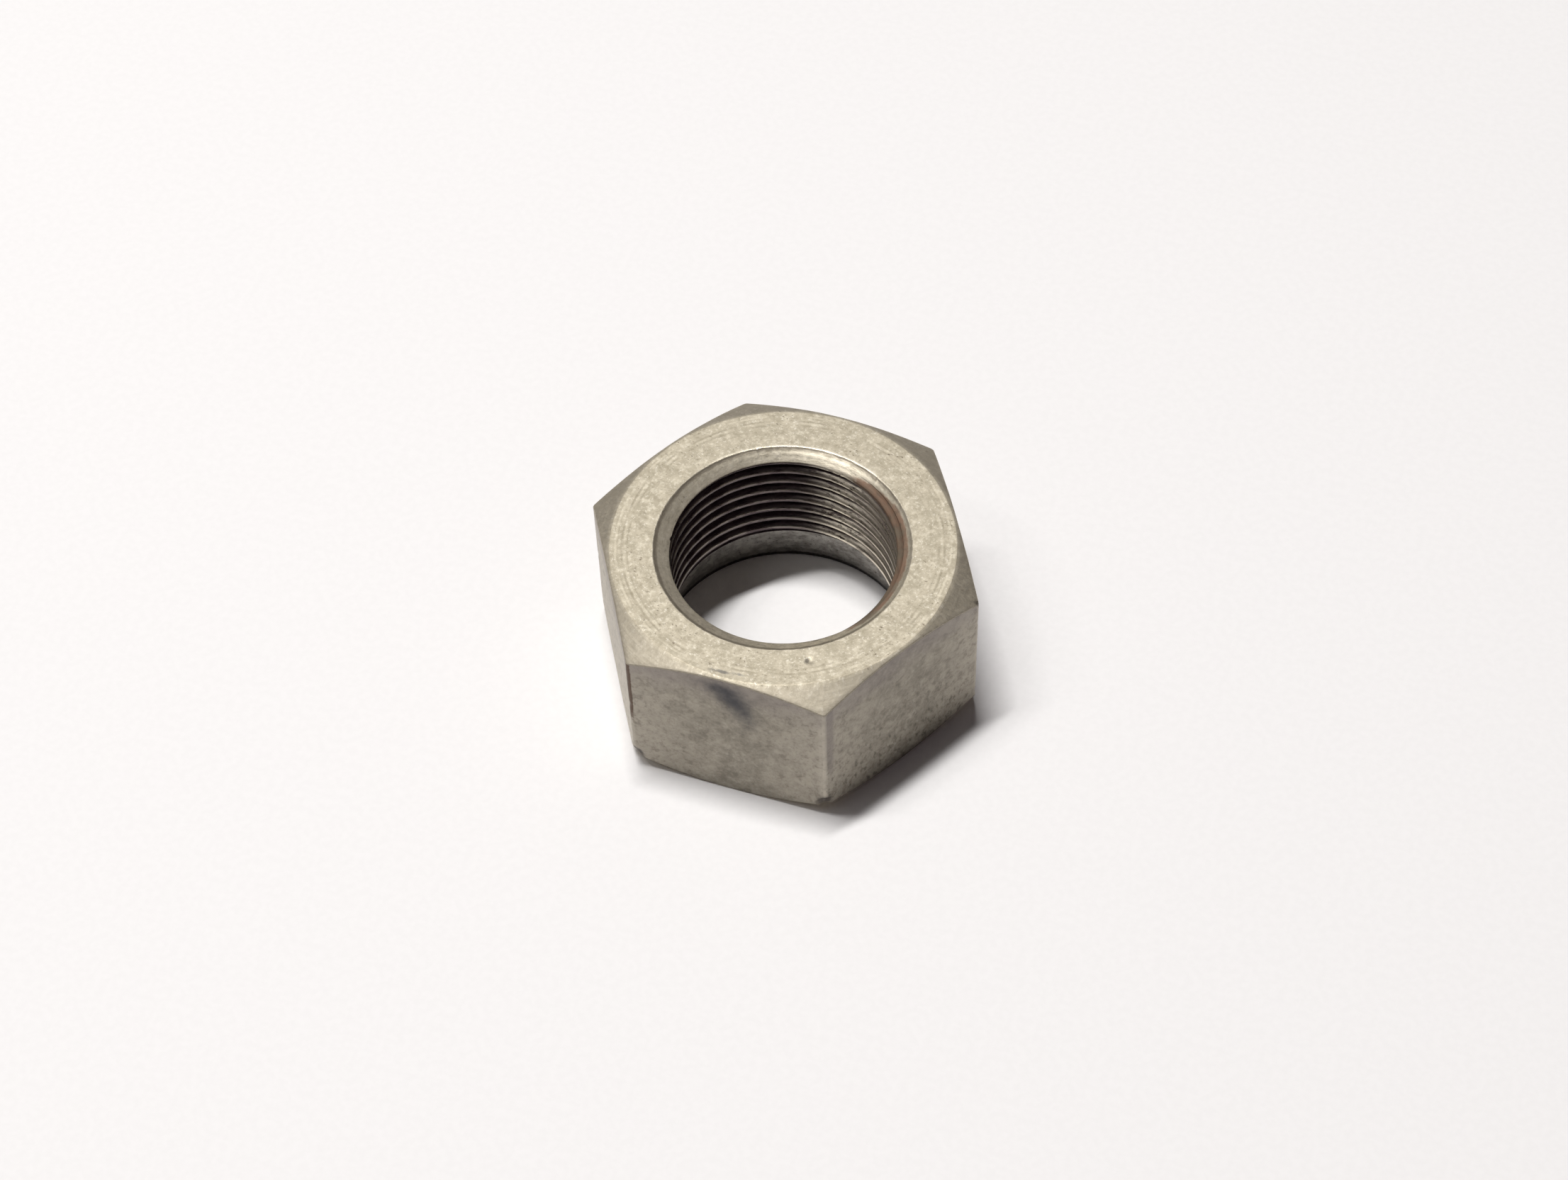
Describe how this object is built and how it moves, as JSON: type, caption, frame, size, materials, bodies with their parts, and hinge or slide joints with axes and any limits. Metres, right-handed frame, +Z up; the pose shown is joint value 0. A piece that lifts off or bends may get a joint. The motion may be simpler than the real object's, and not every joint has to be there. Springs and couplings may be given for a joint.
{
  "type": "hex nut",
  "caption": "Tall hexagonal nut with a fine right-hand thread, chamfered corners on both faces, a countersunk top and a smooth counterbore in its bottom face.",
  "frame": {"origin": "centre of the bottom face, on the thread's axis", "axes": "+Z up the thread's axis, from the counterbored bottom face to the countersunk top face; two opposite corners on the X axis and two opposite flats facing +Y and -Y"},
  "size_m": [0.0406, 0.0352, 0.0184],
  "materials": {
    "steel": "dull, pale warm grey, with fine turning marks on the top face, small pits and dings, and dark oil or oxide in the thread"
  },
  "bodies": {
    "root": {"nut": "steel"}
  },
  "joints": []
}
